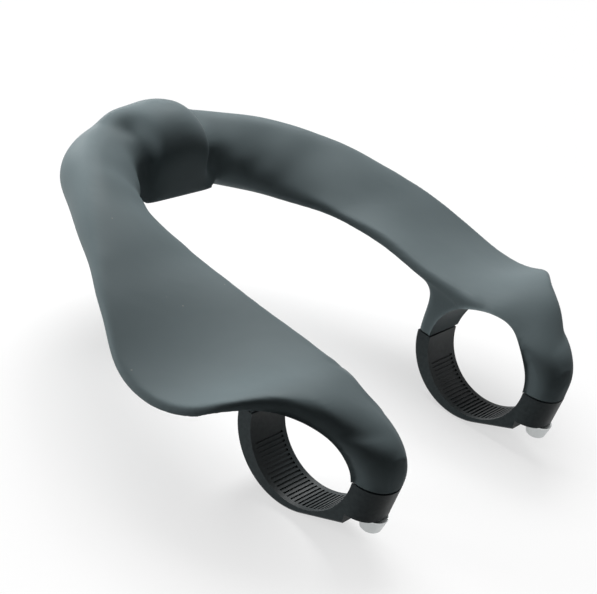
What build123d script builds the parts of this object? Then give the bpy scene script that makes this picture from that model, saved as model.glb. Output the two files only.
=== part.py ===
"""Aero handlebar extension: a moulded carbon loop with two bar clamps and bolted lower straps.

Frame: millimetres, origin on the handlebar axis midway between the clamps, +X to the rider's
right along the bar, +Y forward to the bridge, +Z up, square to the plane where the clamps split.
"""

import os
from math import asin, atan2, cos, hypot, pi, radians, sin, tan

from build123d import *

os.makedirs("parts", exist_ok=True)

# Handlebar clamp
BAR_RADIUS = 15.9
BAR_LENGTH = 200.0
CLAMP_X = 37.75
CLAMP_WIDTH = 13.1
CLAMP_CORNER_SHARE = 0.473
CLAMP_FRONT_CORNER = 2.0
FRONT_WALL = 4.7
REAR_WALL = 8.4
SPLIT_GAP = 0.5

# Strap, the lower clamp half
STRAP_WALL = 2.3
STRAP_EDGE = 0.5
BOSS_DEPTH = 9.0
BOSS_TAPER = 1.2
RIB_COUNT = 29
RIB_GROOVE_WIDTH = 0.6
RIB_GROOVE_DEPTH = 0.35
RIB_BORDER = 1.5
RIB_START = 30.0
RIB_END = 152.0

# Hook at the front end of the strap, and its slot in the body
HOOK_WIDTH = 8.0
HOOK_INSET = 1.1
HOOK_THICK = 1.4
HOOK_HEIGHT = 4.4
HOOK_LIP = 0.6
HOOK_LIP_HEIGHT = 1.5
HOOK_CLEARANCE = 0.2

# Bolt and thread insert
BOLT_RADIUS = 2.0
BOLT_LENGTH = 14.0
BOLT_TIP = 0.5
BOLT_OFFSET = 4.5
BOLT_HOLE_CLEARANCE = 0.2
HEAD_RADIUS = 3.6
HEAD_TIP_RADIUS = 2.7
HEAD_HEIGHT = 4.0
HEAD_EDGE = 0.4
SOCKET_FLATS = 3.0
SOCKET_DEPTH = 2.2
SEAT_CLEARANCE = 0.4
INSERT_RADIUS = 3.0
INSERT_LENGTH = 6.0
BOND_GAP = 0.05
THREAD_GAP = 0.05

# Arms: each station is a tapered section, an inner and an outer edge rounding (distance from
# the centre line, height, radius) and the rise of the top between them. The straight stations
# are given by y, the fan stations by their angle about the upright line at FAN_Y.
UNDERSIDE_BOW = 0.2
FAN_Y = 75.0
STRAIGHT_STATIONS = [
    (-23.0, (36.4, 6.2, 1.8), (39.2, 6.4, 2.0), 0.2),
    (-20.8, (36.6, 7.4, 2.6), (40.4, 7.6, 2.6), 0.3),
    (-16.0, (36.0, 9.4, 3.2), (43.8, 10.2, 3.0), 0.6),
    (-8.5, (35.0, 11.0, 3.6), (50.4, 15.0, 3.1), 1.0),
    (-1.0, (33.8, 13.1, 3.7), (57.7, 16.9, 2.5), 1.1),
    (6.5, (32.5, 14.5, 2.9), (68.1, 15.3, 2.0), 0.9),
    (14.0, (31.8, 15.6, 2.1), (73.0, 12.0, 1.5), 0.6),
    (24.0, (31.7, 16.6, 1.8), (74.9, 10.8, 1.5), 0.5),
    (35.0, (32.6, 18.1, 1.8), (73.4, 13.4, 1.8), 0.6),
    (45.0, (32.4, 19.1, 1.7), (68.5, 18.0, 2.1), 1.1),
    (52.5, (31.2, 19.4, 1.4), (64.4, 20.8, 2.5), 1.8),
    (60.0, (30.7, 19.6, 1.9), (59.0, 22.9, 3.4), 2.6),
    (67.5, (29.9, 19.1, 2.5), (53.7, 24.3, 4.6), 3.4),
    (FAN_Y, (29.0, 18.7, 3.3), (48.3, 25.2, 5.8), 3.6),
]
FAN_STATIONS = [
    (12.0, (29.6, 19.6, 5.3), (41.3, 25.4, 7.3), 2.6),
    (30.0, (30.5, 20.6, 7.6), (37.5, 24.9, 8.0), 1.4),
    (48.0, (30.4, 21.5, 8.6), (35.4, 23.6, 8.6), 0.6),
    (64.0, (29.6, 22.4, 8.6), (34.2, 23.9, 8.4), 0.5),
    (77.0, (29.6, 22.4, 8.4), (33.0, 23.8, 8.0), 0.4),
    (90.0, (29.6, 22.4, 8.2), (32.4, 23.8, 7.8), 0.4),
]

# Raised collar on the bridge: sections at their distance from the centre line
# (distance, foot height, crown height, rear y, shoulder y, brow y, brow height), and the
# profile they share
COLLAR_SECTIONS = [
    (0.0, 15.0, 39.9, 89.0, 88.8, 111.8, 34.6),
    (4.0, 15.0, 39.3, 89.0, 88.8, 111.8, 34.5),
    (8.0, 15.0, 37.6, 89.0, 88.9, 111.8, 34.2),
    (12.0, 15.2, 35.5, 89.1, 89.6, 111.8, 33.5),
    (15.0, 15.8, 33.9, 89.8, 92.0, 111.6, 31.8),
    (18.0, 17.4, 32.3, 92.5, 97.0, 111.0, 29.6),
    (21.0, 20.0, 30.0, 97.0, 102.0, 108.5, 27.0),
]
COLLAR_TOE_Y = 104.0
COLLAR_TOE = 0.16
COLLAR_SHOULDER = 0.5
COLLAR_CROWN_REAR = (0.0, 0.88)
COLLAR_CROWN_FRONT = (0.53, 1.16)
COLLAR_FRONT_BULGE = (1.13, 0.5)

# Saddle, the upper clamp half: how far each level above the split stands out from the clamp's
# outline (height, inner side, outer side, rear, front), and how much its corners grow
# (inner rear, outer rear, front)
SADDLE_LEVELS = [
    (0.0, 0.0, 0.0, 0.0, 0.0, 0.0, 0.0, 0.0),
    (4.0, 0.1, 1.4, -0.1, 0.0, 0.0, 0.8, 0.0),
    (7.0, 0.2, 3.0, -0.9, 0.0, 1.2, 2.0, 0.4),
    (9.5, 0.3, 4.6, -2.6, 0.3, 2.4, 3.0, 1.0),
    (11.8, 0.4, 6.7, -5.8, 1.4, 3.8, 3.6, 2.0),
    (13.6, 0.5, 8.5, -11.0, 4.0, 4.0, 4.0, 3.5),
    (15.0, 0.4, 6.0, -16.0, 8.5, 2.0, 2.0, 4.0),
]

CLAMP_INNER_X = CLAMP_X - CLAMP_WIDTH / 2
CLAMP_OUTER_X = CLAMP_X + CLAMP_WIDTH / 2
CLAMP_REAR_Y = -(BAR_RADIUS + REAR_WALL)
CLAMP_FRONT_Y = BAR_RADIUS + FRONT_WALL
BOLT_Y = -(BAR_RADIUS + BOLT_OFFSET)
CLAMP_CORNER = CLAMP_CORNER_SHARE * CLAMP_WIDTH
SPLIT_Z = SPLIT_GAP / 2


def tapered_outline(inner, outer, crown):
    """Control points of the outer end, top, inner end and underside of a tapered section."""
    (u1, z1, r1), (u2, z2, r2) = inner, outer
    length = hypot(u2 - u1, z2 - z1)
    slope = atan2(z2 - z1, u2 - u1)
    lean = asin((r2 - r1) / length)
    upper, lower = slope + pi / 2 + lean, slope - pi / 2 - lean

    def touch(u, z, r, angle, ahead):
        """The point of an edge circle at this angle, moved ahead along its tangent."""
        return (u + r * cos(angle) - ahead * sin(angle), z + r * sin(angle) + ahead * cos(angle))

    roll = 2 * atan2(2 * crown, length)
    outer_top, inner_top = upper - roll, upper + roll
    outer_reach = 4 / 3 * tan((outer_top - lower) / 4) * r2
    inner_reach = 4 / 3 * tan((2 * pi - inner_top + lower) / 4) * r1
    third = length / 3

    def bowed(point, rise):
        """A control point moved square to the section, so that its side bows by the rise."""
        return (point[0] - 4 / 3 * rise * sin(slope), point[1] + 4 / 3 * rise * cos(slope))

    outer_end = [
        touch(u2, z2, r2, lower, 0),
        touch(u2, z2, r2, lower, outer_reach),
        touch(u2, z2, r2, outer_top, -outer_reach),
        touch(u2, z2, r2, outer_top, 0),
    ]
    inner_end = [
        touch(u1, z1, r1, inner_top, 0),
        touch(u1, z1, r1, inner_top, inner_reach),
        touch(u1, z1, r1, lower, -inner_reach),
        touch(u1, z1, r1, lower, 0),
    ]
    top = [
        outer_end[3],
        touch(u2, z2, r2, outer_top, third),
        touch(u1, z1, r1, inner_top, -third),
        inner_end[0],
    ]
    underside = [
        inner_end[3],
        bowed(touch(u1, z1, r1, lower, third), -UNDERSIDE_BOW),
        bowed(touch(u2, z2, r2, lower, -third), -UNDERSIDE_BOW),
        outer_end[0],
    ]
    return outer_end, top, inner_end, underside


def station_planes():
    """Upright section planes: square to the arm, then fanned round to the centre line."""
    for y, inner, outer, crown in STRAIGHT_STATIONS:
        yield Plane((0, y, 0), x_dir=(1, 0, 0), z_dir=(0, -1, 0)), inner, outer, crown
    for angle, inner, outer, crown in FAN_STATIONS:
        along = (cos(radians(angle)), sin(radians(angle)), 0)
        across = (along[1], -along[0], 0)
        yield Plane((0, FAN_Y, 0), x_dir=along, z_dir=across), inner, outer, crown


def collar_outline(foot_z, crown_z, rear_y, shoulder_y, brow_y, brow_z):
    """Control points of the rear wall, crown, front and underside of one collar section."""

    def at(share, level):
        """A point by its share of the way from shoulder to brow, and of the way from foot to crown."""
        return (shoulder_y + share * (brow_y - shoulder_y), foot_z + level * (crown_z - foot_z))

    heel, shoulder, brow = (rear_y, foot_z), at(0, COLLAR_SHOULDER), (brow_y, brow_z)
    toe_z = at(0, COLLAR_TOE)[1]
    toe = (COLLAR_TOE_Y, toe_z)
    crown = [shoulder, at(*COLLAR_CROWN_REAR), at(*COLLAR_CROWN_FRONT), brow]
    front = [brow, at(*COLLAR_FRONT_BULGE), (brow_y, toe_z), toe]
    return [heel, shoulder], crown, front, [toe, heel]


def hook_outline(clearance):
    """The hook in the y-z plane, from the split up, grown by a clearance on its free sides."""
    rear = BAR_RADIUS + HOOK_INSET - clearance
    neck = BAR_RADIUS + HOOK_INSET + HOOK_THICK + clearance
    tip = neck + HOOK_LIP
    top = HOOK_HEIGHT + clearance
    ledge = HOOK_HEIGHT - HOOK_LIP_HEIGHT - clearance
    return [(rear, -SPLIT_Z), (neck, -SPLIT_Z), (neck, ledge), (tip, ledge), (tip, top), (rear, top)]


with BuildPart() as extension_body:
    for plane, inner, outer, crown in station_planes():
        with BuildSketch(plane):
            with BuildLine():
                for side in tapered_outline(inner, outer, crown):
                    Bezier(*side)
            make_face()
    loft()
    for x, *shape in COLLAR_SECTIONS:
        with BuildSketch(Plane.YZ.offset(x)):
            with BuildLine():
                for side in collar_outline(*shape):
                    Bezier(*side)
            make_face()
    loft()
    for height, inner_grow, outer_grow, rear_grow, front_grow, *corners in SADDLE_LEVELS:
        inner_x, outer_x = CLAMP_INNER_X - inner_grow, CLAMP_OUTER_X + outer_grow
        rear_y, front_y = CLAMP_REAR_Y - rear_grow, CLAMP_FRONT_Y + front_grow
        with BuildSketch(Plane.XY.offset(SPLIT_Z + height)) as level:
            with Locations(((inner_x + outer_x) / 2, (rear_y + front_y) / 2)):
                Rectangle(outer_x - inner_x, front_y - rear_y)
            fillet(level.vertices().group_by(Axis.Y)[0].sort_by(Axis.X)[0], CLAMP_CORNER + corners[0])
            fillet(level.vertices().group_by(Axis.Y)[0].sort_by(Axis.X)[-1], CLAMP_CORNER + corners[1])
            fillet(level.vertices().group_by(Axis.Y)[-1], CLAMP_FRONT_CORNER + corners[2])
    loft()
    with BuildSketch(Plane.YZ.offset(CLAMP_X)):
        with BuildLine():
            Polyline(*hook_outline(HOOK_CLEARANCE), close=True)
        make_face()
    extrude(amount=HOOK_WIDTH / 2 + HOOK_CLEARANCE, both=True, mode=Mode.SUBTRACT)
    with BuildSketch(Plane.XY.offset(SPLIT_Z)):
        with Locations((CLAMP_X, BOLT_Y)):
            Circle(INSERT_RADIUS + BOND_GAP)
    extrude(amount=INSERT_LENGTH + BOND_GAP, mode=Mode.SUBTRACT)
    mirror(about=Plane.YZ)
    with Locations(Location((0, 0, 0), (0, 90, 0))):
        Cylinder(BAR_RADIUS, BAR_LENGTH, mode=Mode.SUBTRACT)

with BuildPart() as right_clamp_strap:
    with BuildSketch(Plane.YZ.offset(CLAMP_INNER_X)):
        with Locations((FRONT_WALL - STRAP_WALL, 0)):
            Circle(BAR_RADIUS + STRAP_WALL)
        with BuildLine():
            Polyline(
                (0, 0),
                (CLAMP_REAR_Y, 0),
                (CLAMP_REAR_Y + BOSS_TAPER, -BOSS_DEPTH),
                close=True,
            )
        make_face()
        make_hull()
        with Locations((0, -SPLIT_Z)):
            Rectangle(BAR_LENGTH, BAR_LENGTH, align=(Align.CENTER, Align.MAX), mode=Mode.INTERSECT)
    extrude(amount=CLAMP_WIDTH)
    sides = right_clamp_strap.faces().filter_by(Axis.X)
    side_edges = sides.edges().filter_by(Axis.Y, reverse=True)
    fillet(side_edges.sort_by(Axis.Y)[:2], CLAMP_CORNER)
    sides = right_clamp_strap.faces().filter_by(Axis.X)
    chamfer(sides.edges().filter_by(GeomType.CIRCLE), STRAP_EDGE)
    with BuildSketch(Plane.YZ.offset(CLAMP_X)):
        Circle(BAR_RADIUS)
    extrude(amount=CLAMP_WIDTH, both=True, mode=Mode.SUBTRACT)
    with Locations(Plane.YZ.offset(CLAMP_X)):
        with PolarLocations(BAR_RADIUS, RIB_COUNT, -RIB_END, RIB_END - RIB_START, endpoint=True):
            Box(2 * RIB_GROOVE_DEPTH, RIB_GROOVE_WIDTH, CLAMP_WIDTH - 2 * RIB_BORDER, mode=Mode.SUBTRACT)
    with BuildSketch(Plane.YZ.offset(CLAMP_X)):
        with BuildLine():
            Polyline(*hook_outline(0), close=True)
        make_face()
    extrude(amount=HOOK_WIDTH / 2, both=True)
    with Locations((CLAMP_X, BOLT_Y, -BOSS_DEPTH)):
        Cylinder(BOLT_RADIUS + BOLT_HOLE_CLEARANCE, 2 * BOSS_DEPTH, mode=Mode.SUBTRACT)
    with Locations((CLAMP_X, BOLT_Y + HEAD_RADIUS + SEAT_CLEARANCE, -BOSS_DEPTH)):
        Box(
            2 * CLAMP_WIDTH,
            BAR_RADIUS,
            BOSS_DEPTH,
            align=(Align.CENTER, Align.MAX, Align.MAX),
            mode=Mode.SUBTRACT,
        )

with BuildPart() as right_clamp_bolt:
    with BuildSketch(Plane((CLAMP_X, BOLT_Y, -BOSS_DEPTH), x_dir=(1, 0, 0), z_dir=(0, -1, 0))):
        with BuildLine():
            Polyline(
                (0, -HEAD_HEIGHT),
                (HEAD_TIP_RADIUS - HEAD_EDGE, -HEAD_HEIGHT),
                (HEAD_TIP_RADIUS, -HEAD_HEIGHT + HEAD_EDGE),
                (HEAD_RADIUS, -HEAD_EDGE),
                (HEAD_RADIUS, 0),
                (BOLT_RADIUS, 0),
                (BOLT_RADIUS, BOLT_LENGTH - BOLT_TIP),
                (BOLT_RADIUS - BOLT_TIP, BOLT_LENGTH),
                (0, BOLT_LENGTH),
                close=True,
            )
        make_face()
    revolve(axis=Axis((CLAMP_X, BOLT_Y, 0), (0, 0, 1)))
    with BuildSketch(Plane.XY.offset(-BOSS_DEPTH - HEAD_HEIGHT)):
        with Locations((CLAMP_X, BOLT_Y)):
            RegularPolygon(SOCKET_FLATS / 2, 6, major_radius=False)
    extrude(amount=SOCKET_DEPTH, mode=Mode.SUBTRACT)

with BuildPart() as right_thread_insert:
    with BuildSketch(Plane.XY.offset(SPLIT_Z)):
        with Locations((CLAMP_X, BOLT_Y)):
            Circle(INSERT_RADIUS)
            Circle(BOLT_RADIUS + THREAD_GAP, mode=Mode.SUBTRACT)
    extrude(amount=INSERT_LENGTH)

with BuildPart() as left_clamp_strap:
    mirror(right_clamp_strap.part, about=Plane.YZ)

with BuildPart() as left_clamp_bolt:
    mirror(right_clamp_bolt.part, about=Plane.YZ)

with BuildPart() as left_thread_insert:
    mirror(right_thread_insert.part, about=Plane.YZ)

extension_body.part.label = "extension_body"
right_clamp_strap.part.label = "right_clamp_strap"
left_clamp_strap.part.label = "left_clamp_strap"
right_clamp_bolt.part.label = "right_clamp_bolt"
left_clamp_bolt.part.label = "left_clamp_bolt"
right_thread_insert.part.label = "right_thread_insert"
left_thread_insert.part.label = "left_thread_insert"

export_step(extension_body.part, "parts/extension_body.step")
export_step(right_clamp_strap.part, "parts/right_clamp_strap.step")
export_step(left_clamp_strap.part, "parts/left_clamp_strap.step")
export_step(right_clamp_bolt.part, "parts/right_clamp_bolt.step")
export_step(left_clamp_bolt.part, "parts/left_clamp_bolt.step")
export_step(right_thread_insert.part, "parts/right_thread_insert.step")
export_step(left_thread_insert.part, "parts/left_thread_insert.step")
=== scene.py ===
import math

import bmesh
import bpy
import numpy as np
from mathutils import Matrix, Vector


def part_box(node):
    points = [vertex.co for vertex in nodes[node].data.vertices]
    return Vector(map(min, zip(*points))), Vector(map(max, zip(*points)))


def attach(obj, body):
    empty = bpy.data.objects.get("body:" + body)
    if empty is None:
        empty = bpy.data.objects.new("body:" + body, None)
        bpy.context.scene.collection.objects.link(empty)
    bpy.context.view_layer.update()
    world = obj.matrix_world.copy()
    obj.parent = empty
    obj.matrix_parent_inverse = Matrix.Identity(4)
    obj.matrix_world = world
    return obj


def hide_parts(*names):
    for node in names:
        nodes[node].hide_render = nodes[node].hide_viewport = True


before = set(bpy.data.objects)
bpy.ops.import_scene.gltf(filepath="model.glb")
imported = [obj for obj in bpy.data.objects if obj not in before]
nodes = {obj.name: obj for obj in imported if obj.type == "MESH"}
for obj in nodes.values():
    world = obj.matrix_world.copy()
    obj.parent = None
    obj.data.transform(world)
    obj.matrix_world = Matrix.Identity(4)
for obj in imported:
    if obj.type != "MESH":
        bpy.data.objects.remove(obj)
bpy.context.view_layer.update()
scene = bpy.context.scene

# Sizes in metres. X runs along the handlebar, Y forward to the bridge, Z up from the clamp split.

# The skin over the CAD body, and the bar that fills its bores while the skin is made
VOXEL = 0.0006
BAR_RADIUS = 0.0159
BAR_HALF = 0.060
BAR_TIP = 0.016
BAR_TIP_RADIUS = 0.012
BAR_OVERLAP = 0.0001

# The bore and the split, which are cut at the end
BORE_RADIUS = 0.0160
BORE_SIDES = 160
SPLIT_Z = 0.00025
SPLIT_SPARE = 0.0012
SPLIT_FACING = -0.4
CUT_HALF = 0.1
CUT_TOLERANCE = 1e-5
SHARP_ANGLE = math.radians(40)

# Smoothing of the voxel steps, and the filling of hollows away from the bore and behind the bar
SMOOTH_STEPS = (0.5, -0.52) * 4
FILL_RATE = 0.5
NEAR_BORE = 0.0008
FREE_OF_BORE = 0.004
BLEND_STEPS = 12
REAR_STEPS = 150
REAR_Y = (0.002, 0.010)

# The valley at each end of the collar
VALLEY_X = 0.0135
VALLEY_WIDTH = 0.0032
VALLEY_DEPTH = 0.0032
VALLEY_FOOT = (0.016, 0.022)
VALLEY_FRONT = (0.101, 0.108)

# The evening-out of the bridge
RELAX_STEPS = 60
RELAX_RATE = 0.5
RELAX_Y = (0.056, 0.076)
RELAX_FOOT = (0.0145, 0.019)

# The evening-out of the lips between bores and flanks
LIP_SPREAD = 0.0016
LIP_REACH = 0.003
LIP_SIDE_X = 0.036
LIP_DOUBT = (0.0003, 0.0006)
ON_BORE = 5e-6

# Colours
BODY_DARK = (0.107, 0.135, 0.142)
BODY_LIGHT = (0.114, 0.143, 0.151)
DUST = (0.2, 0.21, 0.21, 1.0)
STRAP_DARK = (0.017, 0.023, 0.025)
STRAP_LIGHT = (0.027, 0.035, 0.037)
BOLT_DARK = (0.50, 0.52, 0.52)
BOLT_LIGHT = (0.62, 0.64, 0.64)
INSERT_DARK = (0.54, 0.54, 0.54)
INSERT_LIGHT = (0.66, 0.66, 0.66)
METAL_ROUGHNESS = (0.30, 0.42)

# Floor, world, lamps and camera
FLOOR_Z = -0.0184
FLOOR_HALF = 4.0
BOUNCE_CENTRE = (0.0, 0.04, FLOOR_Z)
BOUNCE_REACH = 0.24
WORLD_COLOUR = (0.96, 0.98, 1.0, 1.0)
WORLD_STRENGTH = 0.02
LAMPS = {
    # name: place, target, width, power in watts
    "overhead": ((0.08, 0.32, 0.42), (0.0, 0.04, 0.0), 0.4, 2.6),
    "right": ((0.55, 0.45, 0.7), (0.0, 0.04, 0.0), 0.45, 5.2),
    "fill": ((-0.6, 0.75, 0.15), (0.0, 0.08, 0.02), 0.4, 7.5),
    "low": ((0.35, 0.85, 0.12), (0.0, 0.0, 0.0), 0.3, 1.2),
}
CAMERA_LENS = 87.08
CAMERA_SENSOR = 36.0
CAMERA_NEAR = 0.01
CAMERA_PLACE = (-0.2880, -0.1525, 0.1858)
CAMERA_RIGHT = (0.6363, -0.7375, 0.2261)
CAMERA_UP = (0.2246, 0.4575, 0.8604)


def node(tree, kind, **inputs):
    """Adds a shader node and fills in its inputs by name."""
    made = tree.nodes.new(kind)
    for name, value in inputs.items():
        made.inputs[name.replace("_", " ")].default_value = value
    return made


def new_material(name):
    """An empty principled material whose textures follow object coordinates."""
    material = bpy.data.materials.new(name)
    material.use_nodes = True
    tree = material.node_tree
    shader = tree.nodes["Principled BSDF"]
    coords = tree.nodes.new("ShaderNodeTexCoord")
    return material, tree, shader, coords.outputs["Object"]


def noise(tree, coords, scale, detail=3.0, roughness=0.55):
    made = node(tree, "ShaderNodeTexNoise", Scale=scale, Detail=detail, Roughness=roughness)
    tree.links.new(coords, made.inputs["Vector"])
    return made.outputs["Fac"]


def ramp(tree, factor, *stops):
    """A colour ramp through (position, rgb) stops."""
    made = tree.nodes.new("ShaderNodeValToRGB")
    elements = made.color_ramp.elements
    while len(elements) < len(stops):
        elements.new(0.5)
    for element, (position, rgb) in zip(elements, stops):
        element.position = position
        element.color = (*rgb, 1.0)
    tree.links.new(factor, made.inputs["Fac"])
    return made.outputs["Color"]


def grey(value):
    return (value, value, value)


def bump(tree, shader, height, strength, distance):
    made = node(tree, "ShaderNodeBump", Strength=strength, Distance=distance)
    tree.links.new(height, made.inputs["Height"])
    tree.links.new(made.outputs["Normal"], shader.inputs["Normal"])


def body_material():
    """Matte charcoal soft-touch finish with a faint mottle and a few pale dust specks."""
    material, tree, shader, coords = new_material("charcoal_finish")
    mottle = noise(tree, coords, scale=60.0)
    base = ramp(tree, mottle, (0.3, BODY_DARK), (0.7, BODY_LIGHT))
    cells = node(tree, "ShaderNodeTexVoronoi", Scale=170.0)
    tree.links.new(coords, cells.inputs["Vector"])
    specks = ramp(tree, cells.outputs["Distance"], (0.028, grey(1.0)), (0.05, grey(0.0)))
    sparse = noise(tree, coords, scale=90.0, detail=0.0)
    pick = ramp(tree, sparse, (0.6, grey(0.0)), (0.66, grey(1.0)))
    chosen = node(tree, "ShaderNodeMath")
    chosen.operation = "MULTIPLY"
    tree.links.new(specks, chosen.inputs[0])
    tree.links.new(pick, chosen.inputs[1])
    mix = tree.nodes.new("ShaderNodeMix")
    mix.data_type = "RGBA"
    mix.inputs["B"].default_value = DUST
    tree.links.new(chosen.outputs["Value"], mix.inputs["Factor"])
    tree.links.new(base, mix.inputs["A"])
    tree.links.new(mix.outputs["Result"], shader.inputs["Base Color"])
    rough = ramp(tree, noise(tree, coords, scale=25.0), (0.3, grey(0.46)), (0.7, grey(0.56)))
    tree.links.new(rough, shader.inputs["Roughness"])
    shader.inputs["Specular IOR Level"].default_value = 0.04
    grain = noise(tree, coords, scale=3500.0, detail=2.0)
    bump(tree, shader, grain, strength=0.12, distance=0.0001)
    return material


def strap_material():
    """Satin black anodising with a fine grain."""
    material, tree, shader, coords = new_material("black_anodised")
    grain = noise(tree, coords, scale=900.0)
    base = ramp(tree, grain, (0.3, STRAP_DARK), (0.7, STRAP_LIGHT))
    tree.links.new(base, shader.inputs["Base Color"])
    rough = ramp(tree, noise(tree, coords, scale=120.0), (0.3, grey(0.36)), (0.7, grey(0.48)))
    tree.links.new(rough, shader.inputs["Roughness"])
    shader.inputs["Specular IOR Level"].default_value = 0.14
    bump(tree, shader, grain, strength=0.1, distance=0.0001)
    return material


def metal_material(name, dark, light):
    """Bare turned metal: fine rings about the vertical and an uneven polish."""
    material, tree, shader, coords = new_material(name)
    rings = node(tree, "ShaderNodeTexWave", Scale=900.0, Distortion=2.0, Detail=2.0)
    rings.bands_direction = "Z"
    tree.links.new(coords, rings.inputs["Vector"])
    base = ramp(tree, rings.outputs["Fac"], (0.2, dark), (0.8, light))
    tree.links.new(base, shader.inputs["Base Color"])
    smooth, coarse = METAL_ROUGHNESS
    polish = ramp(tree, noise(tree, coords, scale=600.0), (0.3, grey(smooth)), (0.7, grey(coarse)))
    tree.links.new(polish, shader.inputs["Roughness"])
    shader.inputs["Metallic"].default_value = 1.0
    bump(tree, shader, rings.outputs["Fac"], strength=0.08, distance=0.00005)
    return material


def seen_ray(tree):
    """One for a ray that the eye, metal or glass sees by, nothing for a ray that gives light."""
    path = tree.nodes.new("ShaderNodeLightPath")
    seen = path.outputs["Is Camera Ray"]
    for other in ("Is Glossy Ray", "Is Transmission Ray"):
        either = tree.nodes.new("ShaderNodeMath")
        either.operation = "MAXIMUM"
        tree.links.new(seen, either.inputs[0])
        tree.links.new(path.outputs[other], either.inputs[1])
        seen = either.outputs["Value"]
    return seen


def floor_material():
    """Plain white to the eye, with a soft shadow, and a modest bounce onto the object."""
    material, tree, shader, coords = new_material("pale_floor")
    seen = seen_ray(tree)
    mottle = ramp(tree, noise(tree, coords, scale=8.0), (0.3, grey(0.90)), (0.7, grey(0.92)))
    spot = tree.nodes.new("ShaderNodeMapping")
    spot.vector_type = "TEXTURE"
    spot.inputs["Location"].default_value = BOUNCE_CENTRE
    spot.inputs["Scale"].default_value = grey(BOUNCE_REACH)
    tree.links.new(coords, spot.inputs["Vector"])
    fade = tree.nodes.new("ShaderNodeTexGradient")
    fade.gradient_type = "SPHERICAL"
    tree.links.new(spot.outputs["Vector"], fade.inputs["Vector"])
    bounce = ramp(tree, fade.outputs["Fac"], (0.0, grey(0.02)), (0.5, grey(0.48)))
    tone = tree.nodes.new("ShaderNodeMix")
    tone.data_type = "RGBA"
    tree.links.new(bounce, tone.inputs["A"])
    tree.links.new(seen, tone.inputs["Factor"])
    tree.links.new(mottle, tone.inputs["B"])
    tree.links.new(tone.outputs["Result"], shader.inputs["Base Color"])
    shader.inputs["Roughness"].default_value = 0.9
    shader.inputs["Specular IOR Level"].default_value = 0.0
    glow = node(tree, "ShaderNodeEmission", Strength=1.0)
    share = node(tree, "ShaderNodeMath")
    share.operation = "MULTIPLY"
    stops = (0.0, grey(0.985)), (0.5, grey(0.93)), (0.8, grey(0.58))
    white = ramp(tree, fade.outputs["Fac"], *stops)
    tree.links.new(seen, share.inputs[0])
    tree.links.new(white, share.inputs[1])
    blend = tree.nodes.new("ShaderNodeMixShader")
    tree.links.new(share.outputs["Value"], blend.inputs["Fac"])
    tree.links.new(shader.outputs["BSDF"], blend.inputs[1])
    tree.links.new(glow.outputs["Emission"], blend.inputs[2])
    tree.links.new(blend.outputs["Shader"], tree.nodes["Material Output"].inputs["Surface"])
    return material


def vertex_array(mesh):
    flat = np.empty(len(mesh.vertices) * 3)
    mesh.vertices.foreach_get("co", flat)
    return flat.reshape(-1, 3)


def edge_array(mesh):
    flat = np.empty(len(mesh.edges) * 2, dtype=np.int64)
    mesh.edges.foreach_get("vertices", flat)
    return flat.reshape(-1, 2)


def from_axis(points):
    """How far each point is from the handlebar's axis."""
    return np.hypot(points[:, 1], points[:, 2])


def write_vertices(mesh, points):
    mesh.vertices.foreach_set("co", points.ravel())
    mesh.update()


def neighbour_means(points, edges, degree):
    """The mean of each vertex's neighbours."""
    total = np.empty_like(points)
    for axis in range(3):
        values = points[:, axis]
        total[:, axis] = np.bincount(edges[:, 0], values[edges[:, 1]], len(points))
        total[:, axis] += np.bincount(edges[:, 1], values[edges[:, 0]], len(points))
    return total / degree[:, None]


def vertex_normals(points, quads):
    """Area-weighted vertex normals of a mesh of quads."""
    corners = points[quads]
    faces = np.cross(corners[:, 2] - corners[:, 0], corners[:, 3] - corners[:, 1])
    normals = np.empty_like(points)
    for axis in range(3):
        spread = np.repeat(faces[:, axis], 4)
        normals[:, axis] = np.bincount(quads.ravel(), spread, len(points))
    return normals / np.maximum(np.linalg.norm(normals, axis=1), 1e-30)[:, None]


def smooth_step(values, start, end):
    """A soft rise from nothing at start to one at end."""
    share = np.clip((values - start) / (end - start), 0.0, 1.0)
    return share * share * (3.0 - 2.0 * share)


def valley_depth(points):
    """How deep the valleys beside the collar are pressed in: not at their foot or their front."""
    across = (np.abs(points[:, 0]) - VALLEY_X) / VALLEY_WIDTH
    depth = VALLEY_DEPTH * np.exp(-across * across)
    depth *= smooth_step(points[:, 2], *VALLEY_FOOT)
    depth *= smooth_step(points[:, 1], *RELAX_Y)
    return depth * (1.0 - smooth_step(points[:, 1], *VALLEY_FRONT))


def relaxed(points, edges, degree, share):
    """The points evened out where the share says, with the drift taken back to keep the size."""
    rate = RELAX_RATE * share[:, None]

    def spread(values):
        for _ in range(RELAX_STEPS):
            values = values + rate * (neighbour_means(values, edges, degree) - values)
        return values

    soft = spread(points)
    return soft - spread(soft - points)


def filled_body(source):
    """A copy of the CAD body with a tapered bar through its bores, so that thin rims are solid."""
    builder = bmesh.new()
    builder.from_mesh(source.data)
    along_x = Matrix.Rotation(math.radians(90), 4, "Y")
    tip_place = BAR_HALF + BAR_TIP / 2
    for place, length, start, end in (
        (0.0, 2 * BAR_HALF, BAR_RADIUS, BAR_RADIUS),
        (tip_place, BAR_TIP, BAR_RADIUS, BAR_TIP_RADIUS),
        (-tip_place, BAR_TIP, BAR_TIP_RADIUS, BAR_RADIUS),
    ):
        bmesh.ops.create_cone(
            builder,
            cap_ends=True,
            segments=BORE_SIDES,
            radius1=start,
            radius2=end,
            depth=length + BAR_OVERLAP,
            matrix=Matrix.Translation((place, 0.0, 0.0)) @ along_x,
        )
    mesh = bpy.data.meshes.new("filled")
    builder.to_mesh(mesh)
    builder.free()
    return mesh


def evaluated_mesh(obj):
    """A new mesh with the object's modifiers applied."""
    return bpy.data.meshes.new_from_object(obj.evaluated_get(bpy.context.evaluated_depsgraph_get()))


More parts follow.
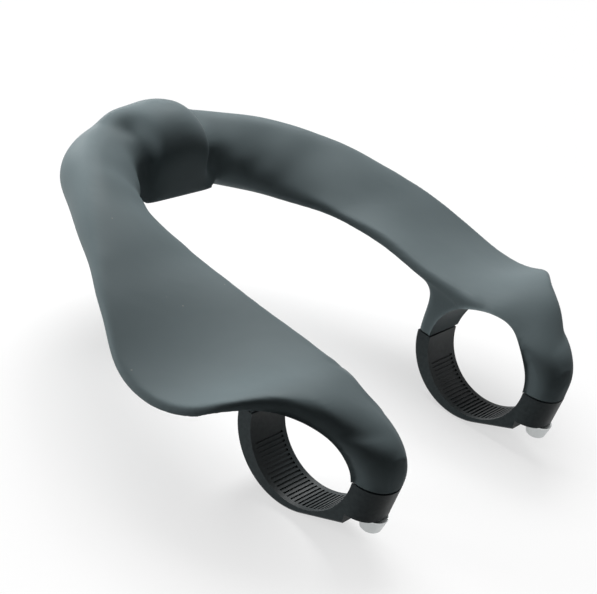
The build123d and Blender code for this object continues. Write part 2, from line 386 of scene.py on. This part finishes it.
def moulded_body(source):
    """The body as one moulding: an even skin over the CAD solid, with hollows filled to blends."""
    shell = bpy.data.objects.new("shell", filled_body(source))
    scene.collection.objects.link(shell)
    remesh = shell.modifiers.new("skin", "REMESH")
    remesh.mode = "VOXEL"
    remesh.voxel_size = VOXEL
    mesh = evaluated_mesh(shell)
    bpy.data.objects.remove(shell)

    points = vertex_array(mesh)
    edges = edge_array(mesh)
    quads = np.empty(len(mesh.loops), dtype=np.int64)
    mesh.loops.foreach_get("vertex_index", quads)
    quads = quads.reshape(-1, 4)
    degree = np.bincount(edges.ravel(), minlength=len(points)).astype(float)

    # The split is let out past its true place, and cut back crisp at the end.
    normals = vertex_normals(points, quads)
    near_bore = from_axis(points) < BORE_RADIUS + NEAR_BORE
    at_split = (points[:, 2] < SPLIT_Z + VOXEL) & (normals[:, 2] < SPLIT_FACING) & ~near_bore
    points[at_split, 2] = SPLIT_Z - SPLIT_SPARE

    # A little even smoothing takes out the steps of the voxel grid without shrinking the part.
    for step in SMOOTH_STEPS:
        points += step * (neighbour_means(points, edges, degree) - points)

    # Only hollows move, and only outward, so that edges keep their size and hollows turn into
    # blends. Behind the bar they go on moving until paddle and saddle are one sweep.
    free = smooth_step(from_axis(points), BORE_RADIUS + NEAR_BORE, BORE_RADIUS + FREE_OF_BORE)
    free[near_bore | at_split] = 0.0
    behind = free * smooth_step(-points[:, 1], *REAR_Y)
    for share, steps in ((free, BLEND_STEPS), (behind, REAR_STEPS)):
        for _ in range(steps):
            normals = vertex_normals(points, quads)
            shift = neighbour_means(points, edges, degree) - points
            rise = np.einsum("ij,ij->i", shift, normals)
            points += (FILL_RATE * np.maximum(rise, 0.0) * share)[:, None] * normals

    points -= valley_depth(points)[:, None] * vertex_normals(points, quads)
    share = smooth_step(points[:, 1], *RELAX_Y) * smooth_step(points[:, 2], *RELAX_FOOT)
    points = relaxed(points, edges, degree, share)

    low, high = (np.array(corner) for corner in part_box(source.name))
    on_body = ~near_bore
    points[on_body] = np.clip(points[on_body], low - (0, 0, 2 * SPLIT_SPARE), high)
    write_vertices(mesh, points)
    return cut_clamps(mesh)


def evened(at, values):
    """A local straight-line fit through the values, and how far they stray from it thereabouts."""
    gap = at[None, :] - at[:, None]
    weight = np.exp(-0.5 * (gap / LIP_SPREAD) ** 2)
    total, first, second = weight.sum(1), (weight * gap).sum(1), (weight * gap * gap).sum(1)
    level, lean = weight @ values, (weight * gap) @ values
    fit = (second * level - first * lean) / (second * total - first * first)
    return fit, weight @ np.abs(fit - values) / total


def even_lips(mesh):
    """Takes the faint waves out of each lip between a bore and a flank, by moves along the bar."""
    points = vertex_array(mesh)
    radius = from_axis(points)
    arc = np.arctan2(points[:, 1], points[:, 2]) * BORE_RADIUS
    edges = edge_array(mesh)
    sharp = np.empty(len(mesh.edges), dtype=bool)
    mesh.attributes["sharp_edge"].data.foreach_get("value", sharp)
    on_bore = (np.abs(radius - BORE_RADIUS) < ON_BORE) & (points[:, 2] > SPLIT_Z + CUT_TOLERANCE)
    on_rim = np.zeros(len(points), dtype=bool)
    on_rim[edges[sharp & on_bore[edges].all(axis=1)]] = True
    moves = np.zeros(len(points))
    for side in (-1, 1):
        for outer in (False, True):
            beside = side * points[:, 0]
            near = (beside > 0) & ((beside > LIP_SIDE_X) == outer)
            lip = np.flatnonzero(near & on_rim)
            if len(lip) < 2:
                continue
            lip = lip[np.argsort(arc[lip])]
            at, along = arc[lip], points[lip, 0]
            fit, doubt = evened(at, along)
            move = (fit - along) * (1.0 - smooth_step(doubt, *LIP_DOUBT))
            off = np.hypot(points[:, 0] - np.interp(arc, at, along), radius - BORE_RADIUS)
            pull = (1.0 - smooth_step(off, 0.0, LIP_REACH)) * np.interp(arc, at, move)
            moves += np.where(near, pull, 0.0)
    points[:, 0] += moves
    write_vertices(mesh, points)


def cut_clamps(mesh):
    """Cuts the bar's bore and everything below the split from the moulding, and makes its piece."""
    rim = math.acos(SPLIT_Z / BORE_RADIUS)
    arc = [rim - 2 * rim * k / BORE_SIDES for k in range(BORE_SIDES + 1)]
    outline = [(CUT_HALF, -CUT_HALF), (CUT_HALF, SPLIT_Z)]
    outline += [(BORE_RADIUS * math.sin(turn), BORE_RADIUS * math.cos(turn)) for turn in arc]
    outline += [(-CUT_HALF, SPLIT_Z), (-CUT_HALF, -CUT_HALF)]
    builder = bmesh.new()
    ends = [[builder.verts.new((x, y, z)) for y, z in outline] for x in (-CUT_HALF, CUT_HALF)]
    builder.faces.new(ends[0])
    builder.faces.new(reversed(ends[1]))
    for k in range(len(outline)):
        after = (k + 1) % len(outline)
        builder.faces.new((ends[0][after], ends[0][k], ends[1][k], ends[1][after]))
    bmesh.ops.recalc_face_normals(builder, faces=builder.faces)
    cutter_mesh = bpy.data.meshes.new("cutter")
    builder.to_mesh(cutter_mesh)
    builder.free()

    cutter = bpy.data.objects.new("cutter", cutter_mesh)
    whole = bpy.data.objects.new("whole", mesh)
    for made in (cutter, whole):
        scene.collection.objects.link(made)
    cut = whole.modifiers.new("cut", "BOOLEAN")
    cut.operation = "DIFFERENCE"
    cut.object = cutter
    for solver in ("MANIFOLD", "EXACT"):
        cut.solver = solver
        finished = evaluated_mesh(whole)
        if vertex_array(finished)[:, 2].min() > SPLIT_Z - CUT_TOLERANCE:
            break
    for made in (cutter, whole):
        bpy.data.objects.remove(made)
    finished.polygons.foreach_set("use_smooth", np.ones(len(finished.polygons), dtype=bool))
    finished.set_sharp_from_angle(angle=SHARP_ANGLE)
    even_lips(finished)
    body = bpy.data.objects.new("moulded_body", finished)
    scene.collection.objects.link(body)
    return body


def paint(obj, material):
    obj.data.materials.clear()
    obj.data.materials.append(material)


body = moulded_body(nodes["extension_body"])
paint(body, body_material())
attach(body, "root")
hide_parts("extension_body")

strap_finish = strap_material()
bolt_metal = metal_material("bright_bolt", BOLT_DARK, BOLT_LIGHT)
insert_metal = metal_material("insert_aluminium", INSERT_DARK, INSERT_LIGHT)
for side in ("left", "right"):
    paint(nodes[f"{side}_clamp_strap"], strap_finish)
    paint(nodes[f"{side}_clamp_bolt"], bolt_metal)
    paint(nodes[f"{side}_thread_insert"], insert_metal)


def make_floor():
    builder = bmesh.new()
    corners = [(-1, -1), (1, -1), (1, 1), (-1, 1)]
    made = [builder.verts.new((x * FLOOR_HALF, y * FLOOR_HALF, FLOOR_Z)) for x, y in corners]
    builder.faces.new(made)
    mesh = bpy.data.meshes.new("floor")
    builder.to_mesh(mesh)
    builder.free()
    floor = bpy.data.objects.new("floor", mesh)
    scene.collection.objects.link(floor)
    paint(floor, floor_material())


def area_light(name, place, target, size, power):
    light = bpy.data.lights.new(name, "AREA")
    light.shape = "DISK"
    light.size = size
    light.energy = power
    made = bpy.data.objects.new(name, light)
    made.location = place
    aim = Vector(target) - Vector(place)
    made.rotation_euler = aim.to_track_quat("-Z", "Y").to_euler()
    scene.collection.objects.link(made)


def make_lights():
    world = bpy.data.worlds.new("studio")
    world.use_nodes = True
    tree = world.node_tree
    dim = tree.nodes["Background"]
    dim.inputs["Color"].default_value = WORLD_COLOUR
    dim.inputs["Strength"].default_value = WORLD_STRENGTH
    white = node(tree, "ShaderNodeBackground", Color=(1.0, 1.0, 1.0, 1.0), Strength=1.0)
    blend = tree.nodes.new("ShaderNodeMixShader")
    tree.links.new(seen_ray(tree), blend.inputs["Fac"])
    tree.links.new(dim.outputs["Background"], blend.inputs[1])
    tree.links.new(white.outputs["Background"], blend.inputs[2])
    tree.links.new(blend.outputs["Shader"], tree.nodes["World Output"].inputs["Surface"])
    scene.world = world
    for name, lamp in LAMPS.items():
        area_light(name, *lamp)


def make_camera():
    camera = bpy.data.cameras.new("camera")
    camera.sensor_width = CAMERA_SENSOR
    camera.lens = CAMERA_LENS
    camera.clip_start = CAMERA_NEAR
    made = bpy.data.objects.new("camera", camera)
    right = Vector(CAMERA_RIGHT).normalized()
    up = Vector(CAMERA_UP).normalized()
    back = right.cross(up).normalized()
    up = back.cross(right)
    turn = Matrix((right, up, back)).transposed()
    made.matrix_world = Matrix.Translation(CAMERA_PLACE) @ turn.to_4x4()
    scene.collection.objects.link(made)
    scene.camera = made


make_floor()
make_lights()
make_camera()
scene.view_settings.view_transform = "Standard"
